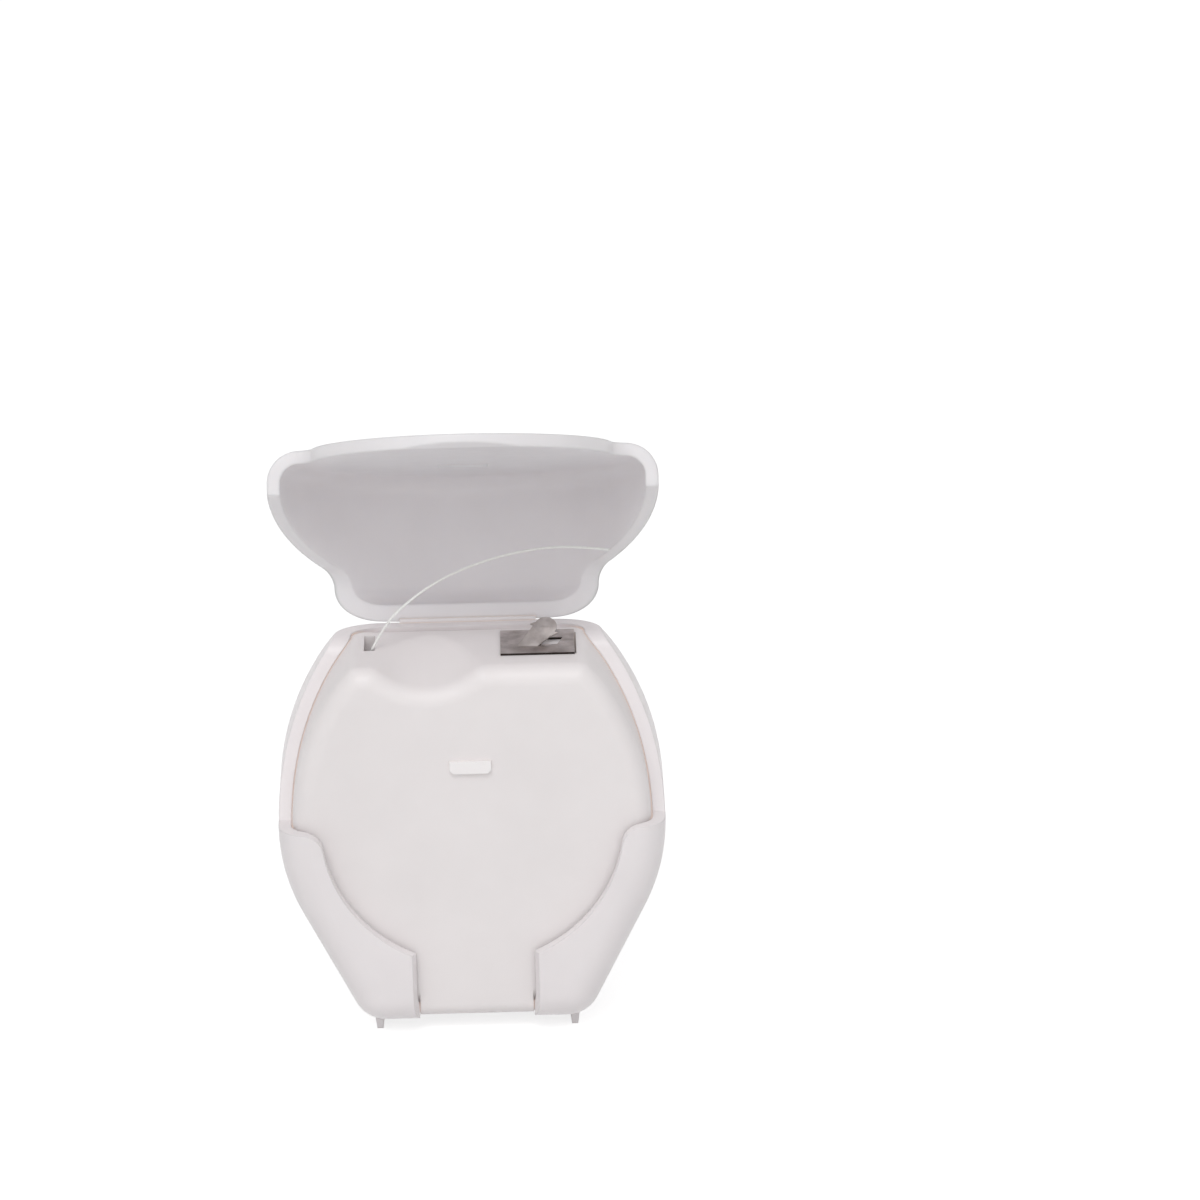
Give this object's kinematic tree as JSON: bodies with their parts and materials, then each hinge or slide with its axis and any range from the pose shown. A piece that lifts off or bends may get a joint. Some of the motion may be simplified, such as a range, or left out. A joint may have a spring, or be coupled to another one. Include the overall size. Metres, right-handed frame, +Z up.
{
  "type": "dental floss dispenser",
  "caption": "Upright pocket floss dispenser with a rounded case, an open hinged lid with an oval label, an inner housing with a steel cutter, and a free end of floss.",
  "frame": {"origin": "on the surface that the feet stand on, under the middle of the case", "axes": "+Z up, +X to the right seen from the front, +Y to the back, so the front faces -Y"},
  "size_m": [0.0508, 0.0436, 0.0871],
  "materials": {
    "case_plastic": "satin white",
    "housing_plastic": "satin white",
    "lid_plastic": "satin white, slightly translucent",
    "label_film": "printed blue film with a fine grain",
    "spool_plastic": "white",
    "floss": "waxed white thread",
    "cutter_steel": "bare sheet"
  },
  "bodies": {
    "housing": {"outer_case": "case_plastic", "inner_housing": "housing_plastic", "hinge_web": "case_plastic", "floss_cutter": "cutter_steel", "floss_lead": "floss", "floss_strand": "floss"},
    "lid": {"lid": "lid_plastic", "lid_label": "label_film"},
    "spool": {"floss_spool": "spool_plastic", "floss_winding": "floss"}
  },
  "joints": [
    {"name": "lid_hinge", "type": "hinge", "parent": "housing", "child": "lid", "pos_m": [0, 0.0105, 0.0513], "axis": [1, 0, 0], "range_deg": [-36, 114], "deforming": ["floss_strand"]},
    {"name": "spool_spin", "type": "hinge", "parent": "housing", "child": "spool", "pos_m": [0, 0, 0.02621], "axis": [0, 1, 0], "continuous": true}
  ]
}
